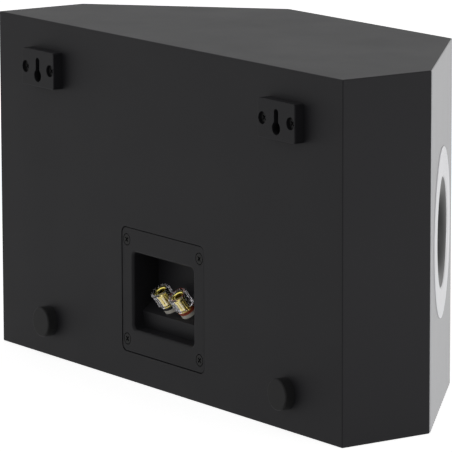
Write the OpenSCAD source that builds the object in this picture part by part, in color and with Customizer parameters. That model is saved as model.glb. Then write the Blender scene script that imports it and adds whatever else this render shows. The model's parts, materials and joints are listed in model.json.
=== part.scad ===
// Wall-hung two-way effects speaker: a six-sided cabinet with a woofer on its front face and a
// horn-loaded tweeter on each slanted face. +Z is up, the front looks along -Y, and left and
// right are as seen from the front, so right is +X. The origin is under the middle of the box
// that holds the whole speaker. All sizes are in millimetres.

/* [Cabinet] */
// Width across the back
body_w = 380; // [350:1:440]
// Height of the cabinet
body_h = 221; // [205:1:270]
// Depth from the front face to the back face
body_d = 161; // [148:1:200]
// Depth of the two short side panels
side_d = 66; // [50:1:75]
// Width of the front face between the slanted ones
front_w = 174.6; // [168:0.2:190]
// Thickness of the top, bottom, side and back panels
wall_t = 15; // [13:0.5:18]
// Thickness of the three baffle boards
baffle_t = 18; // [15:0.5:21]
// Thickness of the silver skin on the baffles
skin_t = 1.2; // [0.8:0.1:1.8]
// Outer radius of the two bends in the skin
bend_r = 4; // [3:0.5:6]
// Bare strip left under the skin
skin_rise = 0.8; // [0.4:0.1:3]
// Clearance around pieces let into the boards
fit_gap = 0.3; // [0.1:0.05:0.5]

/* [Wall hangers and bumpers] */
// Distance of each hanger's and bumper's middle from the nearer side of the cabinet
hanger_inset = 57.5; // [30:0.5:90]
// Height of the hangers' middle below the top
hanger_drop = 30.8; // [20:0.2:45]
// Width of a hanger block
hanger_w = 38; // [34:0.5:46]
// Height of a hanger block
hanger_h = 23.8; // [21:0.2:32]
// Thickness of the hanger blocks and of the bumpers
hanger_t = 7; // [6:0.5:10]
// Thickness of the hanger's face behind which a screw head catches
hanger_face_t = 2.6; // [2:0.1:3]
// Radius of the keyhole's round part
key_r = 4.1; // [3.6:0.1:4.4]
// Width of the keyhole's slot
key_slot_w = 4.4; // [3:0.1:4.8]
// Distance from the round part's centre up to the slot's centre line end
key_travel = 9.4; // [8:0.2:11]
// Height of the round part's centre below the hanger's middle
key_drop = 4.6; // [4:0.1:5.4]
// Extra radius of the pocket behind the keyhole
key_pocket = 1.1; // [0.5:0.1:1.4]
// Distance of each hanger screw from the hanger's middle
hanger_screw_x = 14.4; // [12.5:0.1:15]
// Radius of a rubber bumper
bumper_r = 9.8; // [7:0.1:12]
// Rounding of a bumper's rim
bumper_round = 1; // [0.3:0.1:2]
// Height of the bumpers' middle above the bottom
bumper_rise = 23; // [16:0.5:35]

/* [Terminal cup] */
// Width of the terminal plate
plate_w = 91; // [86:0.5:100]
// Height of the terminal plate
plate_h = 79.6; // [75:0.2:84]
// Thickness of the terminal plate
plate_t = 3; // [2.4:0.1:4]
// Corner radius of the terminal plate
plate_corner = 4; // [2:0.5:6]
// Depth of the plate's face below the cabinet's back
plate_sink = 0.3; // [0.1:0.1:0.6]
// Gap around the terminal plate
plate_gap = 0.6; // [0.3:0.1:1]
// Height of the plate's middle above the bottom
plate_rise = 59.1; // [56:0.1:80]
// Width of the recess
recess_w = 67.6; // [60:0.2:69]
// Height of the recess
recess_h = 49.6; // [46:0.2:51]
// Corner radius of the recess's mouth
recess_corner = 3; // [1:0.5:5]
// Depth of the recess
recess_d = 20; // [19:0.5:24]
// Depth of the step's foot at the bottom of the recess
floor_d = 9.3; // [8:0.1:9.5]
// Depth of the step's top edge, where the ramp begins
ramp_front_d = 7.7; // [6.5:0.1:8]
// Height of the step below the ramp
step_h = 11.2; // [9:0.2:12]
// Slope of the ramp that carries the posts
ramp_angle = 37; // [34:1:40]
// Wall thickness of the cup
cup_t = 2.5; // [2:0.1:3]
// Thickness of the foam gasket under the plate
gasket_t = 1; // [0.5:0.1:1.5]
// Sideways distance of each plate screw from the plate's middle
plate_screw_x = 40.4; // [39:0.1:41.5]
// Upright distance of each plate screw from the plate's middle
plate_screw_z = 32.1; // [30:0.1:33.5]

/* [Binding posts] */
// Distance between the two posts
post_pitch = 19.05; // [17:0.05:22]
// Depth of the posts' feet below the cabinet's back
post_depth = 14; // [13.6:0.1:14.6]
// Radius of a post's shaft
shaft_r = 3; // [2.8:0.05:3.3]
// Radius of the plug socket in the shaft
socket_r = 2.05; // [1.9:0.01:2.15]
// Depth of the plug socket
socket_d = 11.5; // [9:0.1:12]
// Height of the caps' gold fronts above the ramp
post_h = 14.8; // [14.2:0.1:15.4]
// Thickness of the pale ring under a post
base_ring_t = 2.4; // [1.6:0.1:2.8]
// Radius of the pale ring
base_ring_r = 5.4; // [4.6:0.1:5.6]
// Thickness of the coloured clamping washer
washer_t = 1; // [0.6:0.1:1.4]
// Radius of the clamping washer
washer_r = 5.5; // [5.2:0.1:5.8]
// Height of the coloured band at the foot of the cap
band_h = 1.1; // [0.6:0.1:1.4]
// Thickness of the coloured band
band_t = 1.3; // [1:0.1:1.5]
// Radius of the cap at its foot
cap_foot_r = 6; // [5.8:0.1:6.4]
// Radius of the cap's grip
cap_head_r = 6.6; // [6.4:0.1:7]
// Height of the clear cap's rim in front of its gold insert
cap_rim = 1.3; // [0.8:0.1:1.8]
// Chamfer at the front of the cap
cap_chamfer = 0.9; // [0.4:0.1:1.1]
// Depth of the grip flutes in the cap
flute_depth = 0.35; // [0.2:0.05:0.5]
// Number of grip flutes
flute_count = 12; // [8:1:16]
// Wall thickness of the threaded insert in the cap
insert_t = 0.7; // [0.6:0.05:1]
// Radius of the gold ring at the insert's front
insert_head_r = 4.6; // [4.3:0.1:4.8]
// Thickness of the gold ring
insert_head_t = 1.6; // [1:0.1:2.2]
// Radial clearance between a shaft and what turns or slides on it
run_gap = 0.06; // [0.03:0.01:0.09]
// Gap under the washer and under the cap when the post is closed
clamp_gap = 0.3; // [0.2:0.05:0.5]
// Length of the shaft behind the ramp
tail_h = 11; // [9:0.5:13]
// Width across the corners of a post nut
nut_r = 5.2; // [4.8:0.1:5.8]
// Thickness of a post nut
nut_t = 3; // [2.5:0.1:4]
// Thickness of a solder tag
tag_t = 0.8; // [0.5:0.1:1]
// Length of a solder tag from the shaft's axis
tag_len = 14; // [12:0.5:16]

/* [Woofer] */
// Outer radius of the woofer's trim ring
woofer_r = 75; // [70:0.5:78]
// Width of the trim ring
woofer_ring_w = 13; // [12:0.5:14]
// Thickness of the trim rings
ring_t = 3; // [2.5:0.1:3.5]
// Rounding of the trim rings' inner edge
ring_round = 2.2; // [1:0.1:2.4]
// Rounding of the trim rings' outer edge
ring_edge = 0.4; // [0.1:0.1:0.8]
// Thickness of the basket's flange
flange_t = 4; // [3.5:0.1:5]
// Radius of the surround's half roll
roll_r = 4.5; // [4:0.1:4.7]
// Depth of the surround's seat below the front of the flange
seat_d = 2.8; // [2.5:0.1:3.2]
// Thickness of the rubber surround
rubber_t = 0.8; // [0.6:0.1:1]
// Depth of the cone
cone_d = 19; // [15:0.5:21]
// Thickness of the cone and the dust cap
cone_t = 0.9; // [0.7:0.1:1.2]
// Radius of the dust cap
dust_cap_r = 19.5; // [17:0.5:23]
// Height of the dust cap
dust_cap_h = 7; // [5:0.5:8]
// Travel of the cone each way
woofer_travel = 4; // [2:0.5:4.5]
// Outer radius of the voice coil former
former_r = 13; // [12:0.1:14]
// Thickness of the former and of the winding on it
winding_t = 0.6; // [0.5:0.05:0.8]
// Width of the magnetic gap on each side of the coil
magnet_gap = 0.5; // [0.4:0.05:0.7]
// Depth from the flange's front to the basket's back
basket_d = 38; // [36:0.5:42]
// Thickness of the basket's metal
basket_t = 2; // [1.6:0.1:2.5]
// Number of windows in the basket
basket_windows = 6; // [4:1:8]
// Width of each leg between the windows
basket_leg_w = 14; // [10:0.5:18]
// Outer radius of the woofer's magnet
woofer_magnet_r = 39; // [37:0.5:44]
// Thickness of the woofer's magnet
woofer_magnet_t = 16; // [12:0.5:20]
// Thickness of the woofer's steel plates
woofer_plate_t = 5; // [4:0.5:6]
// Number of screws in the woofer's flange
woofer_screws_n = 6; // [4:1:8]

/* [Tweeters] */
// Outer radius of a tweeter's trim ring
tweeter_r = 53; // [50:0.5:56]
// Height of a tweeter's trim ring above the skin
tweeter_proud = 0.6; // [0:0.1:1]
// Radius of the opening in the trim ring
horn_mouth_r = 33; // [31:0.5:35]
// Radius of the horn's throat
horn_throat_r = 17; // [16:0.5:19]
// Thickness of the horn's lip inside the trim ring
horn_lip_t = 0.8; // [0.5:0.1:1.5]
// Depth of the horn from its lip to the throat
horn_d = 15; // [12:0.5:17]
// Thickness of the horn's flange
horn_flange_t = 3.5; // [3:0.1:4.5]
// Thickness of the horn's wall
horn_t = 2.5; // [2:0.1:3]
// Radius of the dome
dome_r = 13; // [12.5:0.1:13.5]
// Height of the dome
dome_h = 5; // [3:0.1:6]
// Thickness of the dome and of its surround
dome_t = 0.5; // [0.4:0.05:0.7]
// Travel of a dome each way
tweeter_travel = 0.4; // [0.2:0.05:0.5]
// Length of a tweeter's coil
tweeter_coil_h = 4; // [3:0.5:5]
// Outer radius of a tweeter's magnet
tweeter_magnet_r = 36; // [32:0.5:37]
// Thickness of a tweeter's magnet
tweeter_magnet_t = 9; // [7:0.5:12]
// Thickness of a tweeter's steel plates
tweeter_plate_t = 3; // [2.5:0.1:4]

/* [Screws] */
// Radius of the screw heads
head_r = 3.4; // [3:0.1:3.5]
// Height of the screw heads
head_h = 1.9; // [1.5:0.1:2.1]
// Radius of the screw shanks
shank_r = 1.7; // [1.4:0.1:2]
// Length of the screws under the head
screw_len = 13; // [11:0.5:15]

/* [Inside] */
// Length of the crossover board
board_w = 120; // [110:1:140]
// Width of the crossover board
board_d = 56; // [52:1:60]
// Thickness of the crossover board
board_t = 1.6; // [1:0.1:2]
// Height of the crossover board above the bottom panel
standoff_h = 8; // [5:0.5:12]
// Radius of the standoffs
standoff_r = 3.5; // [3:0.1:4]
// Radius of the crossover's inductors
inductor_r = 14; // [12:0.5:15]
// Height of the inductors
inductor_h = 16; // [12:0.5:20]
// Radius of the inductors' bore
inductor_bore = 5; // [3:0.5:7]
// Radius of the crossover's capacitors
capacitor_r = 7; // [5:0.5:8]
// Length of the capacitors
capacitor_len = 30; // [20:1:34]
// Length of the crossover's resistors
resistor_len = 25; // [18:1:28]
// Width and height of the resistors
resistor_w = 8; // [6:0.5:9]
// Width of the damping pad under the top panel
top_pad_w = 190; // [120:5:200]
// Depth of the damping pad under the top panel
top_pad_d = 80; // [60:1:84]
// Height of the damping pads on the sides
side_pad_h = 120; // [80:5:150]
// Thickness of the damping pads
pad_t = 18; // [10:1:22]
// Radius of the internal wires
wire_r = 1.1; // [0.8:0.1:1.4]
// Bend radius of the internal wires
wire_bend = 4; // [2:0.5:5]

/* [Hidden] */
$fn = 96;
// A cut runs this far past the face that it opens
cut = 1;

// Places of the cabinet's faces
y_front = -(body_d + hanger_t) / 2;
y_back = y_front + body_d;
y_shoulder = y_back - side_d;
face_angle = atan2(y_shoulder - y_front, (body_w - front_w) / 2);
face_mid = [(body_w + front_w) / 4, (y_front + y_shoulder) / 2];
inner_back = y_back - wall_t;

// The cabinet's plan, anticlockwise from the front left corner. Its six edges are the front,
// the right slanted face, the right side, the back, the left side and the left slanted face.
plan = [
    [-front_w / 2, y_front], [front_w / 2, y_front],
    [body_w / 2, y_shoulder], [body_w / 2, y_back],
    [-body_w / 2, y_back], [-body_w / 2, y_shoulder]
];
FRONT = 0;
SLANT_RIGHT = 1;
SIDE_RIGHT = 2;
BACK = 3;
SIDE_LEFT = 4;
SLANT_LEFT = 5;

// The inward normal of edge i, and the corners of a plan whose edges each move inwards
function inward(p, i) = let (d = p[(i + 1) % len(p)] - p[i]) [-d.y, d.x] / norm(d);
function inset_corner(p, t, i) =
    let (
        h = (i + len(p) - 1) % len(p),
        a = inward(p, h),
        b = inward(p, i),
        ca = a * p[i] + t[h],
        cb = b * p[i] + t[i],
        det = a.x * b.y - a.y * b.x
    )
    [(ca * b.y - cb * a.y) / det, (a.x * cb - b.x * ca) / det];
function inset(p, t) = [for (i = [0 : len(p) - 1]) inset_corner(p, t, i)];
function front_inset(t) = inset(plan, [t, t, 0, 0, 0, t]);

core = front_inset(skin_t);
cavity = inset(core, [baffle_t, baffle_t, wall_t, wall_t, wall_t, baffle_t]);
bends = front_inset(bend_r);

// Frames for pieces that sit on a face: local +Z points out of the cabinet and +Y is up
module on_front() {
    translate([0, y_front, body_h / 2])
        rotate([90, 0, 0])
            children();
}

module on_slant(side) {
    translate([side * face_mid.x, face_mid.y, body_h / 2])
        rotate([90, 0, side * face_angle])
            children();
}

module on_both_slants() {
    for (side = [-1, 1])
        on_slant(side)
            children();
}

module on_back(x, z) {
    translate([x, y_back, z])
        rotate([90, 0, 180])
            children();
}

// A ring or disc from z0 up to z1
module ring(outer, inner, z0, z1) {
    translate([0, 0, z0])
        linear_extrude(z1 - z0)
            difference() {
                circle(outer);
                circle(inner);
            }
}

module disc(r, z0, z1) {
    translate([0, 0, z0])
        cylinder(r = r, h = z1 - z0);
}

// A circle's points from angle a0 to angle a1
function arc(c, r, a0, a1, n) =
    [for (i = [0 : n]) c + r * [cos(a0 + (a1 - a0) * i / n), sin(a0 + (a1 - a0) * i / n)]];

module rounded_plate(w, h, r) {
    square([w - 2 * r, h], center = true);
    square([w, h - 2 * r], center = true);
    for (x = [-1, 1], y = [-1, 1])
        translate([x * (w / 2 - r), y * (h / 2 - r)])
            circle(r);
}

// Screws: head standing on z = 0, shank below, crossed drive in the head
drive_w = 0.9;
drive_len = 4;
drive_d = 1.1;
pilot_gap = 0.05;

module screw(length) {
    difference() {
        union() {
            disc(head_r, 0, head_h);
            disc(shank_r, -length, 0);
        }
        for (turn = [0, 90])
            rotate([0, 0, turn + 45])
                translate([0, 0, head_h])
                    cube([drive_len, drive_w, 2 * drive_d], center = true);
    }
}

module pilot(length) {
    disc(shank_r + pilot_gap, -length - cut, cut);
}

// ---- Cabinet -------------------------------------------------------------------------------

// The plan with rounded front corners, its front faces moved inwards by t
module bent_plan(t) {
    r = bend_r - t;
    p = front_inset(t);
    polygon([
        bends[0] - r * inward(plan, SLANT_LEFT), bends[0] - r * inward(plan, FRONT),
        bends[1] - r * inward(plan, FRONT), bends[1] - r * inward(plan, SLANT_RIGHT),
        p[2], p[3], p[4], p[5]
    ]);
    for (c = [bends[0], bends[1]])
        translate(c)
            circle(r);
}

module cap_panel(z) {
    translate([0, 0, z])
        linear_extrude(wall_t)
            bent_plan(skin_t);
}

// One upright board between the top and bottom panels, mitred to its neighbours
module board(i) {
    j = (i + 1) % len(core);
    translate([0, 0, wall_t])
        linear_extrude(body_h - 2 * wall_t)
            intersection() {
                polygon([core[i], core[j], cavity[j], cavity[i]]);
                bent_plan(skin_t);
            }
}

module top_panel() {
    color("#2c2c2e")
        cap_panel(body_h - wall_t);
}

module bottom_panel() {
    color("#2c2c2e")
        difference() {
            cap_panel(0);
            at_standoffs()
                disc(shank_r + pilot_gap, wall_t - standoff_peg, wall_t + cut);
        }
}

module side_panel_left() {
    color("#2c2c2e")
        board(SIDE_LEFT);
}

module side_panel_right() {
    color("#2c2c2e")
        board(SIDE_RIGHT);
}

module back_panel() {
    color("#2c2c2e")
        difference() {
            board(BACK);
            on_back(0, plate_rise) {
                translate([0, 0, -rebate_d])
                    linear_extrude(rebate_d + cut)
                        rounded_plate(plate_w + 2 * plate_gap, plate_h + 2 * plate_gap,
                            plate_corner + plate_gap);
                translate([0, 0, -wall_t - cut])
                    linear_extrude(wall_t + 2 * cut)
                        square([cup_w + 2 * fit_gap, cup_h + 2 * fit_gap], center = true);
                at_plate_screws()
                    translate([0, 0, -plate_sink - head_h])
                        pilot(screw_len);
            }
            for (side = [-1, 1])
                on_back(side * hanger_span / 2, hanger_z)
                    at_hanger_screws()
                        translate([0, 0, hanger_seat])
                            pilot(screw_len);
        }
}

// A driver's hole: a rebate for its flange, a smaller hole through the board, pilot holes
module driver_hole(rim_r, rebate, hole_r) {
    disc(rim_r + fit_gap, -rebate, cut);
    disc(hole_r, -skin_t - baffle_t - cut, cut);
}

module center_baffle() {
    color("#8c7a60")
        difference() {
            board(FRONT);
            on_front() {
                driver_hole(woofer_r, woofer_rebate, woofer_hole_r);
                at_woofer_screws()
                    translate([0, 0, woofer_screw_seat])
                        pilot(screw_len);
            }
        }
}

module slant_board(i, side) {
    color("#8c7a60")
        difference() {
            board(i);
            on_slant(side) {
                driver_hole(tweeter_r, ring_t + horn_flange_t, tweeter_magnet_r + 2);
                at_tweeter_screws()
                    translate([0, 0, tweeter_screw_seat])
                        pilot(screw_len);
            }
        }
}

module baffle_left() {
    slant_board(SLANT_LEFT, -1);
}

module baffle_right() {
    slant_board(SLANT_RIGHT, 1);
}

module baffle_skin() {
    color("#b4b4b6")
        difference() {
            translate([0, 0, skin_rise])
                linear_extrude(body_h - skin_rise)
                    difference() {
                        bent_plan(0);
                        bent_plan(skin_t);
                    }
            on_front()
                disc(woofer_r + ring_gap, -2 * skin_t, cut);
            on_both_slants()
                disc(tweeter_r + ring_gap, -2 * skin_t, cut);
        }
}

// ---- Wall hangers and bumpers ----------------------------------------------------------------

hanger_z = body_h - hanger_drop;
hanger_span = body_w - 2 * hanger_inset;
hanger_seat = hanger_t - 3.6;
hanger_bore = 0.5;

module at_hanger_screws() {
    for (x = [-1, 1])
        translate([x * hanger_screw_x, 0, 0])
            children();
}

// The keyhole's outline, grown by g
module keyhole(g) {
    translate([0, -key_drop])
        circle(key_r + g);
    translate([-key_slot_w / 2 - g, -key_drop])
        square([key_slot_w + 2 * g, key_travel]);
    translate([0, key_travel - key_drop])
        circle(key_slot_w / 2 + g);
}

module hanger(side) {
    color("#2a2a2b")
        on_back(side * hanger_span / 2, hanger_z)
            difference() {
                linear_extrude(hanger_t)
                    rounded_plate(hanger_w, hanger_h, 1.5);
                translate([0, 0, -cut])
                    linear_extrude(hanger_t + 2 * cut)
                        keyhole(0);
                translate([0, 0, -cut])
                    linear_extrude(hanger_t - hanger_face_t + cut)
                        keyhole(key_pocket);
                at_hanger_screws() {
                    disc(shank_r + hanger_bore, -cut, hanger_t + cut);
                    disc(head_r + hanger_bore, hanger_seat, hanger_t + cut);
                }
            }
}

module hanger_left() {
    hanger(-1);
}

module hanger_right() {
    hanger(1);
}

module hanger_screws() {
    color("#1d1d1f")
        for (side = [-1, 1])
            on_back(side * hanger_span / 2, hanger_z)
                at_hanger_screws()
                    translate([0, 0, hanger_seat])
                        screw(screw_len);
}

module bumpers() {
    color("#242425")
        for (side = [-1, 1])
            on_back(side * hanger_span / 2, bumper_rise)
                rotate_extrude()
                    polygon(concat(
                        [[0, 0], [bumper_r, 0]],
                        arc([bumper_r - bumper_round, hanger_t - bumper_round], bumper_round, 0, 90, 6),
                        [[0, hanger_t]]
                    ));
}

// ---- Terminal cup ----------------------------------------------------------------------------

rebate_d = plate_sink + plate_t + gasket_t;
cup_w = recess_w + 2 * cup_t;
cup_h = recess_h + 2 * cup_t;
step_z = step_h - recess_h / 2;
ramp_z = step_z + (recess_d - ramp_front_d) * tan(ramp_angle);

// The recess seen from its side, as [distance in front of the back face, height]
recess_side = [
    [0, -recess_h / 2], [0, recess_h / 2], [-recess_d, recess_h / 2],
    [-recess_d, ramp_z], [-ramp_front_d, step_z], [-floor_d, -recess_h / 2]
];
cup_side = inset(recess_side, -cup_t * [0, 1, 1, 1, 1, 1]);

module at_plate_screws() {
    for (x = [-1, 1], y = [-1, 1])
        translate([x * plate_screw_x, y * plate_screw_z, 0])
            children();
}

// Frames for the posts: local +Z is the post's axis and z = 0 is the ramp's surface
post_y = y_back - post_depth;
post_z = plate_rise + step_z + (post_depth - ramp_front_d) * tan(ramp_angle);

module at_post(side) {
    translate([side * post_pitch / 2, post_y, post_z])
        rotate([-ramp_angle, 0, 0])
            children();
}

RED = -1;
BLACK = 1;

module at_both_posts() {
    for (side = [RED, BLACK])
        at_post(side)
            children();
}

module side_prism(outline, w) {
    translate([w / 2, y_back, plate_rise])
        rotate([0, -90, 0])
            linear_extrude(w)
                polygon([for (p = outline) [p.y, p.x]]);
}

module terminal_cup() {
    color("#323234")
        difference() {
            union() {
                on_back(0, plate_rise)
                    translate([0, 0, -plate_sink - plate_t])
                        linear_extrude(plate_t)
                            rounded_plate(plate_w, plate_h, plate_corner);
                difference() {
                    side_prism(cup_side, cup_w);
                    on_back(0, plate_rise)
                        translate([-cup_w, -cup_h, -plate_sink])
                            cube([2 * cup_w, 2 * cup_h, recess_d]);
                }
            }
            intersection() {
                side_prism([for (p = recess_side) p.x == 0 ? [cut, p.y] : p], recess_w);
                on_back(0, plate_rise)
                    translate([0, 0, -2 * recess_d])
                        linear_extrude(3 * recess_d)
                            rounded_plate(recess_w, recess_h, recess_corner);
            }
            on_back(0, plate_rise)
                at_plate_screws() {
                    disc(shank_r + hanger_bore, -2 * plate_t, 0);
                    disc(head_r + hanger_bore, -plate_sink - head_h, cut);
                }
            at_both_posts()
                disc(shaft_r + pilot_gap, -2 * cup_t, cup_t);
        }
}

module terminal_gasket() {
    color("#1a1a1a")
        on_back(0, plate_rise)
            difference() {
                translate([0, 0, -rebate_d])
                    linear_extrude(gasket_t)
                        difference() {
                            rounded_plate(plate_w, plate_h, plate_corner);
                            square([cup_w + 2 * fit_gap, cup_h + 2 * fit_gap], center = true);
                        }
                at_plate_screws()
                    disc(shank_r + hanger_bore, -rebate_d - cut, 0);
            }
}

module terminal_screws() {
    color("#1d1d1f")
        on_back(0, plate_rise)
            at_plate_screws()
                translate([0, 0, -plate_sink - head_h])
                    screw(screw_len);
}

// ---- Binding posts ---------------------------------------------------------------------------

// Heights on the post's axis
washer_z = base_ring_t + clamp_gap;
cap_z = washer_z + washer_t + clamp_gap;
insert_r = shaft_r + run_gap + insert_t;
insert_z = cap_z + band_h;
insert_head_z = post_h - insert_head_t;
grip_z = cap_z + band_h + 1.2;
cap_front_z = post_h + cap_rim;
cap_mouth_r = insert_head_r + 0.3;
shaft_top = post_h - 0.3;
flute_r = 1;

module post_shaft(side) {
    color("#c9a63c")
        at_post(side)
            difference() {
                disc(shaft_r, -tail_h, shaft_top);
                disc(socket_r, shaft_top - socket_d, post_h + cut);
            }
}

module post_shaft_red() {
    post_shaft(RED);
}

module post_shaft_black() {
    post_shaft(BLACK);
}

module post_base_rings() {
    color("#d8d4c4")
        at_both_posts()
            ring(base_ring_r, shaft_r + pilot_gap, 0, base_ring_t);
}

// Clear screw cap: fluted, chamfered at the front and open there for the plug
module post_cap(side) {
    color("#dfe3e8", 0.35)
        at_post(side)
            difference() {
                rotate_extrude()
                    polygon([
                        [insert_r, cap_z], [cap_foot_r - band_t, cap_z],
                        [cap_foot_r - band_t, cap_z + band_h], [cap_foot_r, cap_z + band_h],
                        [cap_head_r, grip_z], [cap_head_r, cap_front_z - cap_chamfer],
                        [cap_head_r - cap_chamfer, cap_front_z],
                        [cap_mouth_r, cap_front_z], [insert_head_r, post_h],
                        [insert_head_r, insert_head_z], [insert_r, insert_head_z]
                    ]);
                for (i = [0 : flute_count - 1])
                    rotate([0, 0, 360 * i / flute_count])
                        translate([cap_head_r + flute_r - flute_depth, 0, grip_z + 0.4])
                            disc(flute_r, 0, cap_front_z);
            }
}

module post_cap_red() {
    post_cap(RED);
}

module post_cap_black() {
    post_cap(BLACK);
}

module cap_insert(side) {
    color("#c9a63c")
        at_post(side)
            rotate_extrude()
                polygon([
                    [shaft_r + run_gap, insert_z], [insert_r, insert_z], [insert_r, insert_head_z],
                    [insert_head_r, insert_head_z], [insert_head_r, post_h],
                    [shaft_r + run_gap, post_h]
                ]);
}

module cap_insert_red() {
    cap_insert(RED);
}

module cap_insert_black() {
    cap_insert(BLACK);
}

module cap_band(side) {
    at_post(side)
        ring(cap_foot_r, cap_foot_r - band_t, cap_z, cap_z + band_h);
}

module cap_band_red() {
    color("#b5402c")
        cap_band(RED);
}

module cap_band_black() {
    color("#1c1c1c")
        cap_band(BLACK);
}

module clamp_washer(side) {
    at_post(side)
        ring(washer_r, shaft_r + run_gap, washer_z, washer_z + washer_t);
}

module clamp_washer_red() {
    color("#b5402c")
        clamp_washer(RED);
}

module clamp_washer_black() {
    color("#1c1c1c")
        clamp_washer(BLACK);
}

module solder_tags() {
    color("#c8c8c4")
        at_both_posts()
            difference() {
                translate([0, 0, -cup_t - tag_t])
                    linear_extrude(tag_t)
                        difference() {
                            union() {
                                circle(nut_r - 0.4);
                                translate([-2, -tag_len])
                                    square([4, tag_len]);
                            }
                            circle(shaft_r + pilot_gap);
                        }
            }
}

module post_nuts() {
    color("#b8b49a")
        at_both_posts()
            difference() {
                translate([0, 0, -cup_t - tag_t - nut_t])
                    cylinder(r = nut_r, h = nut_t, $fn = 6);
                disc(shaft_r + pilot_gap, -tail_h, 0);
            }
}

// ---- Woofer: z = 0 is the outside of the baffle skin ------------------------------------------

ring_gap = 0.15;
flange_r = woofer_r - 1;
flange_z = -ring_t - flange_t;
woofer_gasket_t = 1;
woofer_rebate = ring_t + flange_t + woofer_gasket_t;
woofer_hole_r = woofer_r - woofer_ring_w + 2;
seat_z = -ring_t - seat_d;
seat_r = woofer_r - woofer_ring_w + 4;
roll_out_r = woofer_r - woofer_ring_w - 0.5;
roll_in_r = roll_out_r - 2 * roll_r;
cone_r = roll_in_r - fit_gap;
cone_z = seat_z + rubber_t;
woofer_screw_r = flange_r - head_r - hanger_bore - 0.2;
woofer_screw_seat = -ring_t - head_h - 0.1;
basket_z = -ring_t - basket_d;
spider_z = basket_z + basket_t + 6;
spider_seat_r = 30;
spider_out_r = 35;
top_plate_r = spider_out_r + 1;
coil_r = former_r + winding_t;
gap_r = coil_r + magnet_gap;
pole_r = former_r - winding_t - magnet_gap;
magnet_z = basket_z - woofer_plate_t;
yoke_z = magnet_z - woofer_magnet_t;
cone_slope = cone_d / (cone_r - former_r);

module at_woofer_screws() {
    for (i = [0 : woofer_screws_n - 1])
        rotate([0, 0, 360 * (i + 0.5) / woofer_screws_n])
            translate([woofer_screw_r, 0, 0])
                children();
}

// A flat ring with rounded edges at the front, standing out past the skin by proud
module trim_ring(outer, inner, proud) {
    rotate_extrude()
        polygon(concat(
            [[outer, -ring_t]],
            arc([outer - ring_edge, proud - ring_edge], ring_edge, 0, 90, 4),
            arc([inner + ring_round, proud - ring_round], ring_round, 90, 180, 8),
            [[inner, -ring_t]]
        ));
}

module woofer_trim_ring() {
    color("#d4d4d6")
        on_front()
            trim_ring(woofer_r, woofer_r - woofer_ring_w, 0);
}

module woofer_basket() {
    wall_r = woofer_hole_r - 0.6;
    color("#3a3a3c")
        on_front()
            difference() {
                rotate_extrude()
                    polygon([
                        [flange_r, -ring_t], [flange_r, flange_z], [wall_r, flange_z],
                        [wall_r - 3, flange_z - 12], [spider_out_r + 5, spider_z - 4],
                        [spider_out_r + 3, basket_z], [gap_r + 1, basket_z],
                        [gap_r + 1, basket_z + basket_t], [spider_seat_r, basket_z + basket_t],
                        [spider_seat_r, spider_z], [spider_out_r + 0.5, spider_z],
                        [wall_r - 3 - 1.4 * basket_t, flange_z - 11],
                        [roll_out_r - 1, seat_z], [seat_r, seat_z], [seat_r, -ring_t]
                    ]);
                for (i = [0 : basket_windows - 1])
                    rotate([0, 0, 360 * i / basket_windows])
                        basket_window();
                at_woofer_screws() {
                    disc(shank_r + hanger_bore, flange_z - cut, 0);
                    disc(head_r + hanger_bore, woofer_screw_seat, 0);
                }
            }
}

// A window between two legs of the basket, open to the outside
module basket_window() {
    inner_w = 2 * (spider_out_r * tan(180 / basket_windows) - basket_leg_w / 2);
    outer_w = 2 * (woofer_hole_r * tan(180 / basket_windows) - basket_leg_w / 2);
    translate([0, 0, spider_z + 1.5])
        linear_extrude(flange_z - 3 - spider_z - 1.5)
            polygon([
                [spider_out_r, -inner_w / 2], [woofer_hole_r, -outer_w / 2],
                [woofer_hole_r, outer_w / 2], [spider_out_r, inner_w / 2]
            ]);
}

module woofer_gasket() {
    color("#1a1a1a")
        on_front()
            difference() {
                ring(flange_r, woofer_hole_r, flange_z - woofer_gasket_t, flange_z);
                at_woofer_screws()
                    disc(shank_r + hanger_bore, flange_z - woofer_gasket_t - cut, flange_z + cut);
            }
}

module woofer_surround() {
    mid = [(roll_out_r + roll_in_r) / 2, seat_z + rubber_t];
    inner = roll_r - rubber_t;
    color("#1b1b1c")
        on_front()
            rotate_extrude()
                polygon(concat(
                    [[seat_r - 0.2, seat_z], [seat_r - 0.2, seat_z + rubber_t]],
                    arc(mid, roll_r, 0, 180, 16),
                    arc(mid, inner, 180, 0, 16),
                    [[roll_out_r - rubber_t, seat_z]]
                ));
}

module woofer_cone() {
    lip = cone_t / 2;
    color("#2e2f31")
        on_front()
            rotate_extrude()
                polygon([
                    [cone_r, cone_z], [former_r, cone_z - cone_d],
                    [former_r, cone_z - cone_d - cone_t - lip], [cone_r, cone_z - cone_t - lip]
                ]);
}

module woofer_dust_cap() {
    rim_z = cone_z - cone_slope * (cone_r - dust_cap_r) + 0.8 * cone_t;
    sphere_r = (dust_cap_r * dust_cap_r + dust_cap_h * dust_cap_h) / (2 * dust_cap_h);
    spread = asin(dust_cap_r / sphere_r);
    c = [0, rim_z + dust_cap_h - sphere_r];
    color("#2e2f31")
        on_front()
            rotate_extrude()
                polygon(concat(
                    arc(c, sphere_r, 90 - spread, 90, 14),
                    arc(c, sphere_r - cone_t, 90, 90 - spread, 14)
                ));
}

former_top = cone_z - cone_d + 2;
coil_z = basket_z - woofer_plate_t / 2;
coil_h = woofer_plate_t + 2 * woofer_travel;

module woofer_former() {
    color("#9a8a60")
        on_front()
            ring(former_r, former_r - winding_t, coil_z - coil_h / 2, former_top);
}

module woofer_coil() {
    color("#a8622c")
        on_front()
            ring(coil_r, former_r, coil_z - coil_h / 2, coil_z + coil_h / 2);
}

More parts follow.
